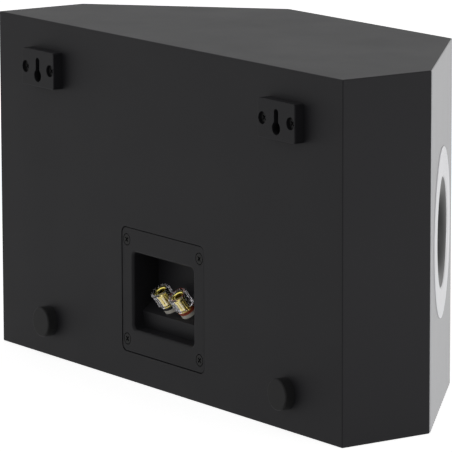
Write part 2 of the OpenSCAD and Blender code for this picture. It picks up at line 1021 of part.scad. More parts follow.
// Corrugated disc between the former and the basket
module woofer_spider() {
    waves = 4;
    steps = 32;
    in_r = former_r + fit_gap;
    out_r = spider_seat_r;
    wave_h = 0.9;
    function wave(i) = [
        in_r + (out_r - in_r) * i / steps,
        spider_z + wave_h * (1 - cos(360 * waves * i / steps))
    ];
    color("#b98f3e")
        on_front()
            rotate_extrude()
                polygon(concat(
                    [for (i = [0 : steps]) wave(i)],
                    [[spider_out_r, spider_z], [spider_out_r, spider_z + rubber_t]],
                    [for (i = [steps : -1 : 0]) wave(i) + [0, rubber_t]]
                ));
}

module woofer_top_plate() {
    color("#8a8c90")
        on_front()
            ring(top_plate_r, gap_r, basket_z - woofer_plate_t, basket_z);
}

module woofer_magnet() {
    color("#3c3c3e")
        on_front()
            ring(woofer_magnet_r, gap_r + 3, yoke_z, magnet_z);
}

module woofer_yoke() {
    color("#8a8c90")
        on_front()
            difference() {
                union() {
                    disc(top_plate_r, yoke_z - woofer_plate_t, yoke_z);
                    disc(pole_r, yoke_z - cut, basket_z);
                }
                disc(pole_r / 2, yoke_z - woofer_plate_t - cut, basket_z + cut);
            }
}

module woofer_screws() {
    color("#1d1d1f")
        on_front()
            at_woofer_screws()
                translate([0, 0, woofer_screw_seat])
                    screw(screw_len);
}

// ---- Tweeters: z = 0 is the outside of the baffle skin ----------------------------------------

horn_flange_z = -ring_t - horn_flange_t;
horn_lip_r = horn_mouth_r + horn_lip_t;
throat_z = -horn_d;
clamp_z = throat_z - horn_t;
tweeter_plate_z = clamp_z - dome_t;
tweeter_magnet_z = tweeter_plate_z - tweeter_plate_t;
tweeter_yoke_z = tweeter_magnet_z - tweeter_magnet_t;
tweeter_plate_r = tweeter_magnet_r - 2;
tweeter_screw_r = (tweeter_r + horn_mouth_r) / 2 + 2;
tweeter_screw_seat = -ring_t - head_h - 0.1;
dome_coil_t = 0.7;
dome_gap_r = dome_r + 0.6;
dome_pole_r = dome_r - dome_coil_t - 0.5;

module at_tweeter_screws() {
    for (i = [0 : 3])
        rotate([0, 0, 45 + 90 * i])
            translate([tweeter_screw_r, 0, 0])
                children();
}

module tweeter_rings() {
    color("#d4d4d6")
        on_both_slants()
            trim_ring(tweeter_r, horn_lip_r + pilot_gap, tweeter_proud);
}

// The horn flares from the throat to a thin lip inside the trim ring along a quarter ellipse
module tweeter_horns() {
    steps = 18;
    flare_w = horn_mouth_r - horn_throat_r;
    function flare(i) = [
        horn_throat_r + flare_w * (1 - cos(90 * i / steps)),
        throat_z + horn_d * sin(90 * i / steps)
    ];
    color("#38383a")
        on_both_slants()
            difference() {
                rotate_extrude()
                    polygon(concat(
                        [for (i = [0 : steps]) flare(i)],
                        [
                            [horn_lip_r, 0], [horn_lip_r, -ring_t],
                            [tweeter_r - 0.4, -ring_t], [tweeter_r - 0.4, horn_flange_z],
                            [tweeter_plate_r, horn_flange_z], [tweeter_plate_r, clamp_z],
                            [horn_throat_r, clamp_z]
                        ]
                    ));
                at_tweeter_screws() {
                    disc(shank_r + hanger_bore, horn_flange_z - cut, 0);
                    disc(head_r + hanger_bore, tweeter_screw_seat, 0);
                }
            }
}

module tweeter_dome(side) {
    rim_z = tweeter_plate_z + dome_t;
    sphere_r = (dome_r * dome_r + dome_h * dome_h) / (2 * dome_h);
    spread = asin(dome_r / sphere_r);
    c = [0, rim_z + dome_h - sphere_r];
    color("#8d8f94")
        on_slant(side)
            rotate_extrude()
                polygon(concat(
                    arc(c, sphere_r, 90 - spread, 90, 12),
                    arc(c, sphere_r - dome_t, 90, 90 - spread, 12)
                ));
}

module tweeter_dome_left() {
    tweeter_dome(-1);
}

module tweeter_dome_right() {
    tweeter_dome(1);
}

module tweeter_coil(side) {
    top = tweeter_plate_z;
    color("#a8622c")
        on_slant(side)
            ring(dome_r, dome_r - dome_coil_t, top - tweeter_coil_h, top);
}

module tweeter_coil_left() {
    tweeter_coil(-1);
}

module tweeter_coil_right() {
    tweeter_coil(1);
}

// A small half roll around the dome, clamped between the horn and the top plate
module tweeter_surrounds() {
    in_r = dome_r + fit_gap;
    mid = [(in_r + horn_throat_r) / 2, clamp_z];
    roll = (horn_throat_r - in_r) / 2;
    color("#1b1b1c")
        on_both_slants()
            rotate_extrude()
                polygon(concat(
                    [[tweeter_plate_r, tweeter_plate_z], [tweeter_plate_r, clamp_z]],
                    arc(mid, roll, 0, 180, 12),
                    arc(mid, roll - dome_t, 180, 0, 12),
                    [[horn_throat_r - dome_t, tweeter_plate_z]]
                ));
}

module tweeter_top_plates() {
    color("#8a8c90")
        on_both_slants()
            ring(tweeter_plate_r, dome_gap_r, tweeter_magnet_z, tweeter_plate_z);
}

module tweeter_magnets() {
    color("#3c3c3e")
        on_both_slants()
            ring(tweeter_magnet_r, dome_gap_r + 3, tweeter_yoke_z, tweeter_magnet_z);
}

module tweeter_yokes() {
    color("#8a8c90")
        on_both_slants() {
            disc(tweeter_plate_r, tweeter_yoke_z - tweeter_plate_t, tweeter_yoke_z);
            disc(dome_pole_r, tweeter_yoke_z - cut, tweeter_plate_z);
        }
}

module tweeter_screws() {
    color("#1d1d1f")
        on_both_slants()
            at_tweeter_screws()
                translate([0, 0, tweeter_screw_seat])
                    screw(screw_len);
}

// ---- Inside ----------------------------------------------------------------------------------

// The board lies behind the woofer, on standoffs in the bottom panel
board_y = inner_back - 42 - board_d / 2;
board_z = wall_t + standoff_h;
board_top = board_z + board_t;
board_margin = 6;
standoff_peg = 4;

module at_standoffs() {
    for (x = [-1, 1], y = [-1, 1])
        translate([x * (board_w / 2 - board_margin), board_y + y * (board_d / 2 - board_margin), 0])
            children();
}

module crossover_board() {
    color("#3e5a34")
        difference() {
            translate([-board_w / 2, board_y - board_d / 2, board_z])
                cube([board_w, board_d, board_t]);
            at_standoffs()
                disc(shank_r + pilot_gap, board_z - cut, board_top + cut);
        }
}

// Each standoff is a post with a peg into the panel and a riveted head over the board
module crossover_standoffs() {
    color("#c8c4b8")
        at_standoffs() {
            disc(standoff_r, wall_t, board_z);
            disc(shank_r, wall_t - standoff_peg, board_top + 1);
            disc(standoff_r, board_top, board_top + 1);
        }
}

module crossover_inductors() {
    color("#a8622c")
        for (x = [-2.3, 0])
            translate([x * inductor_r, board_y + board_d / 7, board_top])
                ring(inductor_r, inductor_bore, 0, inductor_h);
}

module crossover_capacitors() {
    color("#b0a040")
        for (x = [0.22, 0.37])
            translate([x * board_w, board_y + board_d / 11, board_top + capacitor_r])
                rotate([90, 0, 0])
                    translate([0, 0, -capacitor_len / 2])
                        cylinder(r = capacitor_r, h = capacitor_len);
}

module crossover_resistors() {
    color("#d8d4c8")
        for (x = [-0.37, -0.1])
            translate([x * board_w, board_y - board_d / 2 + resistor_w / 4, board_top])
                cube([resistor_len, resistor_w, resistor_w]);
}

// Wadding: one pad under the top panel and one against each side panel
module damping_pads() {
    side_pad_d = inner_back - cavity[SIDE_RIGHT].y - 2;
    color("#d8d8d4") {
        translate([-top_pad_w / 2, inner_back - top_pad_d, body_h - wall_t - pad_t])
            cube([top_pad_w, top_pad_d, pad_t]);
        for (side = [-1, 1])
            translate([side * (body_w / 2 - wall_t - pad_t / 2), inner_back - side_pad_d / 2, body_h / 2])
                cube([pad_t, side_pad_d, side_pad_h], center = true);
    }
}

// A wire that leaves the board upwards, bends to run level, and bends up again to its end
module wire(x, y, turn, rise, reach, end_z) {
    translate([x, y, board_top])
        rotate([0, 0, turn]) {
            disc(wire_r, 0, rise - wire_bend);
            translate([wire_bend, 0, rise - wire_bend])
                rotate([90, 0, 180])
                    wire_elbow();
            translate([wire_bend, 0, rise])
                rotate([0, 90, 0])
                    disc(wire_r, 0, reach - 2 * wire_bend);
            translate([reach - wire_bend, 0, rise + wire_bend])
                rotate([90, 0, 0])
                    rotate([0, 0, -90])
                        wire_elbow();
            translate([reach, 0, 0])
                disc(wire_r, rise + wire_bend, end_z - board_top);
        }
}

module wire_elbow() {
    rotate_extrude(angle = 90)
        translate([wire_bend, 0])
            circle(wire_r, $fn = 24);
}

// A pair of wires from the board to each driver and to the binding posts
module internal_wires() {
    pair = 2.5 * wire_r;
    post_wire_rise = 10;
    tweeter_wire_rise = 20;
    woofer_wire_rise = 26;
    tweeter_wire_x = board_w / 2 - 5;
    tag_y = post_y - (cup_t + tag_t) * sin(ramp_angle) - (tag_len - 2) * cos(ramp_angle);
    tag_z = post_z - (cup_t + tag_t) * cos(ramp_angle) + (tag_len - 2) * sin(ramp_angle) - 1.5;
    magnet_mid = tweeter_magnet_z - tweeter_magnet_t / 2;
    tweeter_x = face_mid.x + magnet_mid * sin(face_angle);
    tweeter_y = face_mid.y - magnet_mid * cos(face_angle);
    driver_z = body_h / 2 - fit_gap;
    front_y = board_y - board_d / 2 + 13;
    rear_y = board_y + board_d / 2 - 3;
    color("#8a1c1c") {
        for (side = [-1, 1]) {
            wire(side * post_pitch / 2, rear_y, 90, post_wire_rise, tag_y - rear_y, tag_z);
            wire(side * pair, front_y, -90, woofer_wire_rise, front_y - y_front + basket_z + 2,
                driver_z - spider_out_r - 5);
            for (lead = [-1, 1])
                wire(side * tweeter_wire_x, tweeter_y + lead * pair, 90 - 90 * side, tweeter_wire_rise,
                    tweeter_x - tweeter_wire_x, driver_z - tweeter_magnet_r);
        }
    }
}

top_panel();
bottom_panel();
side_panel_left();
side_panel_right();
back_panel();
center_baffle();
baffle_left();
baffle_right();
baffle_skin();
damping_pads();
hanger_left();
hanger_right();
hanger_screws();
bumpers();
terminal_cup();
terminal_gasket();
terminal_screws();
post_shaft_red();
post_shaft_black();
post_base_rings();
post_cap_red();
post_cap_black();
cap_insert_red();
cap_insert_black();
cap_band_red();
cap_band_black();
clamp_washer_red();
clamp_washer_black();
post_nuts();
solder_tags();
woofer_trim_ring();
woofer_basket();
woofer_gasket();
woofer_surround();
woofer_cone();
woofer_dust_cap();
woofer_former();
woofer_coil();
woofer_spider();
woofer_top_plate();
woofer_magnet();
woofer_yoke();
woofer_screws();
tweeter_rings();
tweeter_horns();
tweeter_dome_left();
tweeter_dome_right();
tweeter_coil_left();
tweeter_coil_right();
tweeter_surrounds();
tweeter_top_plates();
tweeter_magnets();
tweeter_yokes();
tweeter_screws();
crossover_board();
crossover_inductors();
crossover_capacitors();
crossover_resistors();
crossover_standoffs();
internal_wires();
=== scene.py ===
"""Looks for a wall-hung effects speaker, shown from behind.

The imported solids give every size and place. This script gives them their finishes and rebuilds the
pieces whose rounded edges or soft shapes the solids keep plain. Lengths are in metres, and left and
right are as seen from the front, so the camera stands behind the left end (-X, +Y).
"""

import json
import math

import bmesh
import bpy
from mathutils import Matrix, Vector

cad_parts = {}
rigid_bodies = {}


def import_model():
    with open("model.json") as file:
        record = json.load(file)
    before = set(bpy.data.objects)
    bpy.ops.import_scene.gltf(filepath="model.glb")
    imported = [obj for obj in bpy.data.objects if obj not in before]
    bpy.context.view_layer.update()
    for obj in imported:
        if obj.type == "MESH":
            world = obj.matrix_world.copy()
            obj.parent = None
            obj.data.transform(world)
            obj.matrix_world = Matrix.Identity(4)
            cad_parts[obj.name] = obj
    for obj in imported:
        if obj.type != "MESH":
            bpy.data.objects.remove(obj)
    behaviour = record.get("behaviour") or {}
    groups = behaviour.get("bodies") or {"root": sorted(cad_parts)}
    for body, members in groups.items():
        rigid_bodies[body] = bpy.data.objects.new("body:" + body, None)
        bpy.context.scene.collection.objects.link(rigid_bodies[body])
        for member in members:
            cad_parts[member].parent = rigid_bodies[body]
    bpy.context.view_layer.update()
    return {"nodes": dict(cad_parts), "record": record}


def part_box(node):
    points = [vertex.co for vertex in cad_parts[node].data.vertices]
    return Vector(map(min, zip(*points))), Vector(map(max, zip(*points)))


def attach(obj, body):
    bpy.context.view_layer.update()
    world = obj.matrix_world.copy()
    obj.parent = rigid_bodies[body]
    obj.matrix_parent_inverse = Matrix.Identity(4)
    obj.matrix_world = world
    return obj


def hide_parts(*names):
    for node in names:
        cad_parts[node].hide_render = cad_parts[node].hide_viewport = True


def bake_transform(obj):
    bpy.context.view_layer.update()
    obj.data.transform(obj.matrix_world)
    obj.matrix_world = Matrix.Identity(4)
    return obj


# Whatever the start-up file holds goes first
for leftover in list(bpy.data.objects):
    bpy.data.objects.remove(leftover)
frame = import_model()
nodes = frame["nodes"]
MM = 0.001

# ---- Camera --------------------------------------------------------------------------------------

CAMERA_AT = Vector((-2.13924, 1.51810, 0.58168))
CAMERA_AIM = Vector((0.80697, -0.56203, -0.18148))
CAMERA_ROLL = math.radians(-0.17)
LENS = 334.0
SENSOR = 36.0
FAR_CLIP = 50


def add_camera():
    """The main view, from behind and a little above."""
    data = bpy.data.cameras.new("camera")
    data.sensor_width = SENSOR
    data.lens = LENS
    data.clip_end = FAR_CLIP
    camera = bpy.data.objects.new("camera", data)
    bpy.context.scene.collection.objects.link(camera)
    turn = CAMERA_AIM.to_track_quat("-Z", "Y").to_matrix().to_4x4()
    roll = Matrix.Rotation(CAMERA_ROLL, 4, "Z")
    camera.matrix_world = Matrix.Translation(CAMERA_AT) @ turn @ roll
    bpy.context.scene.camera = camera


# ---- Light, floor and background -----------------------------------------------------------------

ROOM_LIGHT = 0.35
FLOOR_HALF = 6.0
FLOOR_PAPER = (0.85, 0.85, 0.85, 1)
FLOOR_GLOW = 0.8
WHITE = (1, 1, 1, 1)
SEEN_WHITE = ("Is Camera Ray", "Is Glossy Ray", "Is Transmission Ray")


def add_softbox(name, at, aim, size, power):
    """A lamp of size (width, height) and some watts that the camera doesn't see."""
    data = bpy.data.lights.new(name, "AREA")
    data.shape = "RECTANGLE"
    data.size, data.size_y = size
    data.energy = power
    lamp = bpy.data.objects.new(name, data)
    bpy.context.scene.collection.objects.link(lamp)
    lamp.location = at
    lamp.rotation_euler = (Vector(aim) - Vector(at)).to_track_quat("-Z", "Y").to_euler()
    lamp.visible_camera = False


def add_lights():
    """A large softbox for the front, a small key from behind and a low one for the end's foot."""
    middle = (0, 0, 0.1)
    add_softbox("front_softbox", (-1.4, -2.0, 0.2), middle, (1.4, 0.9), 10)
    add_softbox("key_lamp", (-1.0, 1.9, 1.5), middle, (0.12, 0.12), 1.2)
    add_softbox("low_softbox", (-0.62, -0.12, 0.04), (-0.19, 0.0, 0.03), (0.4, 0.08), 0.35)


def seen_white(tree, plain, white):
    """Mixes from the plain output to the white one for the rays that see the background."""
    rays = tree.nodes.new("ShaderNodeLightPath")
    factor = rays.outputs[SEEN_WHITE[0]]
    for kind in SEEN_WHITE[1:]:
        either = tree.nodes.new("ShaderNodeMath")
        either.operation = "MAXIMUM"
        tree.links.new(factor, either.inputs[0])
        tree.links.new(rays.outputs[kind], either.inputs[1])
        factor = either.outputs[0]
    mix = tree.nodes.new("ShaderNodeMixShader")
    tree.links.new(factor, mix.inputs[0])
    tree.links.new(plain, mix.inputs[1])
    tree.links.new(white, mix.inputs[2])
    return mix.outputs[0]


def make_world():
    """An even dim room that shows as white."""
    world = bpy.data.worlds.new("studio")
    bpy.context.scene.world = world
    world.use_nodes = True
    tree = world.node_tree
    tree.nodes.clear()
    out = tree.nodes.new("ShaderNodeOutputWorld")
    room = tree.nodes.new("ShaderNodeBackground")
    room.inputs["Color"].default_value = WHITE
    room.inputs["Strength"].default_value = ROOM_LIGHT
    white = tree.nodes.new("ShaderNodeBackground")
    white.inputs["Color"].default_value = WHITE
    white.inputs["Strength"].default_value = 1.0
    tree.links.new(seen_white(tree, room.outputs[0], white.outputs[0]), out.inputs["Surface"])


def add_floor():
    """Pale paper under the speaker, which glows to white where it is seen and keeps the shadow."""
    corners = [(x * FLOOR_HALF, y * FLOOR_HALF, 0) for x, y in ((-1, -1), (1, -1), (1, 1), (-1, 1))]
    mesh = bpy.data.meshes.new("floor")
    mesh.from_pydata(corners, [], [(0, 1, 2, 3)])
    floor = bpy.data.objects.new("floor", mesh)
    bpy.context.scene.collection.objects.link(floor)
    material = bpy.data.materials.new("floor_paper")
    material.use_nodes = True
    tree = material.node_tree
    tree.nodes.clear()
    out = tree.nodes.new("ShaderNodeOutputMaterial")
    paper = tree.nodes.new("ShaderNodeBsdfDiffuse")
    paper.inputs["Color"].default_value = FLOOR_PAPER
    glow = tree.nodes.new("ShaderNodeEmission")
    glow.inputs["Strength"].default_value = FLOOR_GLOW
    lit = tree.nodes.new("ShaderNodeAddShader")
    tree.links.new(paper.outputs[0], lit.inputs[0])
    tree.links.new(glow.outputs[0], lit.inputs[1])
    tree.links.new(seen_white(tree, paper.outputs[0], lit.outputs[0]), out.inputs["Surface"])
    mesh.materials.append(material)


# ---- Materials -----------------------------------------------------------------------------------


def finish(name, dark, light, rough, tone_scale=60, grain=0.0, grain_scale=2500, metal=0.0,
           rough_spread=0.05, stretch=(1, 1, 1), **sockets):
    """A principled finish: tone drifts between two colours, roughness drifts with it, and a fine
    grain lifts the surface by about that many millimetres."""
    material = bpy.data.materials.new(name)
    material.use_nodes = True
    tree = material.node_tree
    shader = tree.nodes["Principled BSDF"]
    place = tree.nodes.new("ShaderNodeTexCoord")
    scaled = tree.nodes.new("ShaderNodeMapping")
    scaled.inputs["Scale"].default_value = stretch
    tree.links.new(place.outputs["Object"], scaled.inputs["Vector"])

    drift = tree.nodes.new("ShaderNodeTexNoise")
    drift.inputs["Scale"].default_value = tone_scale
    drift.inputs["Detail"].default_value = 3
    tree.links.new(scaled.outputs[0], drift.inputs["Vector"])
    tone = tree.nodes.new("ShaderNodeValToRGB")
    tone.color_ramp.elements[0].position = 0.3
    tone.color_ramp.elements[0].color = (*dark, 1)
    tone.color_ramp.elements[1].position = 0.7
    tone.color_ramp.elements[1].color = (*light, 1)
    tree.links.new(drift.outputs["Fac"], tone.inputs[0])
    tree.links.new(tone.outputs[0], shader.inputs["Base Color"])

    wear = tree.nodes.new("ShaderNodeMapRange")
    wear.inputs["To Min"].default_value = max(rough - rough_spread, 0)
    wear.inputs["To Max"].default_value = min(rough + rough_spread, 1)
    tree.links.new(drift.outputs["Fac"], wear.inputs["Value"])
    tree.links.new(wear.outputs[0], shader.inputs["Roughness"])

    if grain:
        bumps = tree.nodes.new("ShaderNodeTexNoise")
        bumps.inputs["Scale"].default_value = grain_scale
        bumps.inputs["Detail"].default_value = 2
        tree.links.new(scaled.outputs[0], bumps.inputs["Vector"])
        bump = tree.nodes.new("ShaderNodeBump")
        bump.inputs["Strength"].default_value = 1.0
        bump.inputs["Distance"].default_value = grain * MM
        tree.links.new(bumps.outputs["Fac"], bump.inputs["Height"])
        tree.links.new(bump.outputs[0], shader.inputs["Normal"])

    shader.inputs["Metallic"].default_value = metal
    for socket, value in sockets.items():
        shader.inputs[socket.replace("_", " ")].default_value = value
    return material


def grey(value):
    """A grey with a touch of blue."""
    return (value, value, value * 1.03)


VINYL = finish("satin_black_vinyl", (0.0118, 0.0116, 0.0132), (0.0138, 0.0136, 0.0154), 0.55,
               tone_scale=25, grain=0.02, Specular_IOR_Level=0.14)
SILVER = finish("silver_skin", grey(0.27), grey(0.29), 0.42, tone_scale=40, grain=0.006,
                grain_scale=4000, metal=0.7)
TRIM = finish("light_grey_ring", grey(0.69), grey(0.73), 0.38, grain=0.004, metal=0.3)
CUP = finish("moulded_black", (0.012, 0.0118, 0.0134), (0.0145, 0.0143, 0.016), 0.5, grain=0.015,
             grain_scale=3000, Specular_IOR_Level=0.11)
RUBBER = finish("black_rubber", grey(0.012), grey(0.016), 0.6, grain=0.02, Specular_IOR_Level=0.15)
FOAM = finish("black_foam", grey(0.008), grey(0.02), 0.9, tone_scale=900, grain=0.15,
              grain_scale=1500)
BLACK_STEEL = finish("blackened_screws", grey(0.006), grey(0.009), 0.42, tone_scale=500,
                     grain=0.004, Specular_IOR_Level=0.1)
BASKET = finish("basket_paint", grey(0.03), grey(0.04), 0.4, grain=0.01)
GOLD = finish("gold_plate", (0.73, 0.62, 0.14), (0.82, 0.71, 0.19), 0.2, tone_scale=700, metal=1.0,
              grain=0.002)
CREAM = finish("cream_plastic", (0.84, 0.8, 0.7), (0.9, 0.87, 0.78), 0.45, tone_scale=500,
               metal=0.1, grain=0.004)
RED = finish("red_plastic", (0.56, 0.1, 0.05), (0.68, 0.14, 0.06), 0.3, tone_scale=500, grain=0.004)
BAND_BLACK = finish("band_black_plastic", grey(0.012), grey(0.018), 0.3, tone_scale=500,
                    grain=0.004)
CLEAR = finish("clear_acrylic", (0.92, 0.9, 0.95), (0.97, 0.95, 1.0), 0.06, tone_scale=300,
               rough_spread=0.02, Transmission_Weight=1.0, IOR=1.49)
NICKEL = finish("nickel_plate", (0.5, 0.48, 0.44), (0.6, 0.58, 0.54), 0.25, tone_scale=400,
                metal=1.0)
CONE = finish("cone_polypropylene", grey(0.03), grey(0.045), 0.4, tone_scale=90, grain=0.02,
              grain_scale=1800)
SURROUND = finish("surround_rubber", grey(0.014), grey(0.02), 0.45, grain=0.01)
HORN = finish("horn_plastic", grey(0.013), grey(0.018), 0.42, grain=0.01, Specular_IOR_Level=0.2)
DOME = finish("dome_metal", grey(0.5), grey(0.56), 0.3, tone_scale=200, metal=0.9)
FORMER = finish("former_film", (0.4, 0.26, 0.1), (0.5, 0.34, 0.14), 0.35, tone_scale=300)
COPPER = finish("copper_winding", (0.55, 0.22, 0.08), (0.7, 0.32, 0.12), 0.3, tone_scale=900,
                metal=0.9, stretch=(1, 1, 30), grain=0.03)
SPIDER = finish("spider_cloth", (0.45, 0.28, 0.08), (0.6, 0.4, 0.14), 0.75, tone_scale=900,
                grain=0.1)
STEEL = finish("zinc_steel", grey(0.42), grey(0.55), 0.35, tone_scale=200, metal=1.0, grain=0.005)
FERRITE = finish("ferrite", grey(0.04), grey(0.07), 0.7, tone_scale=200, grain=0.03)
MDF = finish("baffle_board", (0.3, 0.21, 0.12), (0.38, 0.28, 0.17), 0.8, tone_scale=700,
             grain=0.05)
WADDING = finish("wadding", (0.6, 0.6, 0.57), (0.75, 0.75, 0.72), 0.95, tone_scale=150, grain=0.5,
                 grain_scale=400)
CIRCUIT = finish("circuit_lacquer", (0.02, 0.08, 0.02), (0.03, 0.12, 0.03), 0.3, tone_scale=120)
FILM = finish("capacitor_film", (0.55, 0.42, 0.06), (0.65, 0.52, 0.1), 0.3, tone_scale=200)
CERAMIC = finish("resistor_ceramic", (0.6, 0.58, 0.52), (0.68, 0.66, 0.6), 0.6, tone_scale=500,
                 grain=0.03)
NYLON = finish("nylon", (0.6, 0.58, 0.5), (0.68, 0.66, 0.58), 0.45, tone_scale=300)
WIRE = finish("wire_insulation", (0.4, 0.03, 0.03), (0.5, 0.05, 0.04), 0.4, tone_scale=200)

FINISHES = {
    "top_panel": VINYL, "bottom_panel": VINYL, "side_panel_left": VINYL, "side_panel_right": VINYL,
    "back_panel": VINYL, "center_baffle": MDF, "baffle_left": MDF, "baffle_right": MDF,
    "baffle_skin": SILVER, "damping_pads": WADDING,
    "hanger_left": CUP, "hanger_right": CUP, "hanger_screws": BLACK_STEEL, "bumpers": RUBBER,
    "terminal_cup": CUP, "terminal_gasket": FOAM, "terminal_screws": BLACK_STEEL,
    "post_shaft_red": GOLD, "post_shaft_black": GOLD, "post_base_rings": CREAM,
    "post_cap_red": CLEAR, "post_cap_black": CLEAR,
    "cap_insert_red": GOLD, "cap_insert_black": GOLD,
    "cap_band_red": RED, "cap_band_black": BAND_BLACK,
    "clamp_washer_red": RED, "clamp_washer_black": BAND_BLACK,
    "post_nuts": NICKEL, "solder_tags": NICKEL,
    "woofer_trim_ring": TRIM, "woofer_basket": BASKET, "woofer_gasket": FOAM,
    "woofer_surround": SURROUND, "woofer_cone": CONE, "woofer_dust_cap": CONE,
    "woofer_former": FORMER, "woofer_coil": COPPER, "woofer_spider": SPIDER,
    "woofer_top_plate": STEEL, "woofer_magnet": FERRITE, "woofer_yoke": STEEL,
    "woofer_screws": BLACK_STEEL,
    "tweeter_rings": TRIM, "tweeter_horns": HORN, "tweeter_surrounds": SURROUND,
    "tweeter_dome_left": DOME, "tweeter_dome_right": DOME,
    "tweeter_coil_left": COPPER, "tweeter_coil_right": COPPER,
    "tweeter_top_plates": STEEL, "tweeter_magnets": FERRITE, "tweeter_yokes": STEEL,
    "tweeter_screws": BLACK_STEEL,
    "crossover_board": CIRCUIT, "crossover_inductors": COPPER, "crossover_capacitors": FILM,
    "crossover_resistors": CERAMIC, "crossover_standoffs": NYLON, "internal_wires": WIRE,
}


def dress_nodes():
    """Gives every CAD node its finish."""
    for name, node in nodes.items():
        node.data.materials.clear()
        node.data.materials.append(FINISHES[name])


# ---- Mesh tools ----------------------------------------------------------------------------------

JOIN_WITHIN = 1e-6
record = frame["record"]
body_of = {node: body for body, names in record["behaviour"]["bodies"].items() for node in names}


def mesh_object(name, bm):
    """An object from a bmesh, which it uses up."""
    bmesh.ops.recalc_face_normals(bm, faces=bm.faces)
    mesh = bpy.data.meshes.new(name)
    bm.to_mesh(mesh)
    bm.free()
    piece = bpy.data.objects.new(name, mesh)
    bpy.context.scene.collection.objects.link(piece)
    return piece


def stand_in(piece, material, node, rides=True):
    """Dresses a piece and has it replace a CAD node, whose body it rides on unless rides is false.
    """
    piece.data.materials.clear()
    piece.data.materials.append(material)
    if rides:
        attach(piece, body_of[node])
    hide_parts(node)
    return piece


def loft(loops):
    """A closed bmesh through loops of equally many points, with a face over each end."""
    bm = bmesh.new()
    rows = [[bm.verts.new(point) for point in loop] for loop in loops]
    count = len(loops[0])
    for low, high in zip(rows, rows[1:]):
        for i in range(count):
            j = (i + 1) % count
            bm.faces.new((low[i], low[j], high[j], high[i]))
    bm.faces.new(rows[0])
    bm.faces.new(rows[-1])
    return bm


def rounded_rectangle(w, h, r, steps=8):
    """Corner points of a rectangle with round corners, around the origin."""
    points = []
    for k, (sx, sy) in enumerate(((1, 1), (-1, 1), (-1, -1), (1, -1))):
        for i in range(steps + 1):
            turn = math.radians(90 * k + 90 * i / steps)
            points.append((sx * (w / 2 - r) + r * math.cos(turn),
                           sy * (h / 2 - r) + r * math.sin(turn)))
    return points


def quarter(radius, steps=4):
    """Pairs (inset, height) along a rounded edge, from its side to its front."""
    turns = [math.pi / 2 * i / steps for i in range(steps + 1)]
    return [(radius * (1 - math.cos(turn)), radius * (math.sin(turn) - 1)) for turn in turns]


def on_back(points, depth, at):
    """Places outline points on the cabinet's back: depth runs outwards from the back face."""
    return [(at[0] + x, Y_BACK + depth, at[1] + y) for x, y in points]


def rounded_block(w, h, corner, low, high, edge, at):
    """A block on the back whose front edges are rounded."""
    loops = [on_back(rounded_rectangle(w, h, corner), low, at)]
    for inset, rise in quarter(edge):
        outline = rounded_rectangle(w - 2 * inset, h - 2 * inset, corner - inset)
        loops.append(on_back(outline, high + rise, at))
    return loft(loops)


def cut_out(piece, cutter):
    """Cuts a bmesh out of a piece and keeps the result as its mesh."""
    tool = mesh_object("tool", cutter)
    step = piece.modifiers.new("cut", "BOOLEAN")
    step.operation = "DIFFERENCE"
    step.solver = "EXACT"
    step.object = tool
    bpy.context.view_layer.update()
    evaluated = piece.evaluated_get(bpy.context.evaluated_depsgraph_get())
    result = bpy.data.meshes.new_from_object(evaluated)
    piece.modifiers.remove(step)
    piece.data = result
    bpy.data.objects.remove(tool)


def shade(piece, angle=35):
    """Smooth shading that breaks at edges sharper than the angle and keeps flat faces flat."""
    bm = bmesh.new()
    bm.from_mesh(piece.data)
    bmesh.ops.remove_doubles(bm, verts=bm.verts, dist=JOIN_WITHIN)
    limit = math.radians(angle)
    for face in bm.faces:
        face.smooth = True
    for edge in bm.edges:
        edge.smooth = len(edge.link_faces) == 2 and edge.calc_face_angle(0) < limit
    bm.to_mesh(piece.data)
    bm.free()
    weighted = piece.modifiers.new("flat_faces", "WEIGHTED_NORMAL")
    weighted.keep_sharp = True
    weighted.weight = 100
    return piece


# ---- Cabinet: one wrapped carcass, cut into its boards at the mitres -----------------------------

(X_LEFT, INNER_BACK, Z_LOW), (X_RIGHT, Y_BACK, Z_TOP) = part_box("back_panel")
EDGE = 0.7 * MM
LIP_RISE = 0.7 * MM
SKIN_INSET = 0.2 * MM
SAME_PLACE = 1e-5
# A face looks to the front if its normal's y is below this
FRONT_BELOW = -0.3
# Edges that turn by more than this angle, in radians, are rounded
ROUNDED_ABOVE = 0.6
PLATE_GAP = 0.6 * MM
PLATE_CORNER = 4 * MM
CUP_HOLE = (73.2 * MM, 55.2 * MM)
CUP_HOLE_CORNER = 0.5 * MM
CUP_HOLE_DEPTH = 20 * MM


def with_lip(outline):
    """Moves the outline's front forwards, so that the boards reach part of the way to the face."""
    area = sum(p.x * q.y - q.x * p.y for p, q in zip(outline, outline[1:] + outline[:1]))
    turn = 1 if area > 0 else -1
    grown = []
    for i, p in enumerate(outline):
        before, after = p - outline[i - 1], outline[(i + 1) % len(outline)] - p
        normals = [Vector((turn * d.y, -turn * d.x)).normalized() for d in (before, after)]
        front = [n for n in normals if n.y < FRONT_BELOW]
        if len(front) == 2:
            grown.append(p + LIP_RISE * (front[0] + front[1]) / (1 + front[0].dot(front[1])))
        elif front:
            grown.append(p + Vector((0, LIP_RISE / front[0].y)))
        else:
            grown.append(p)
    return grown


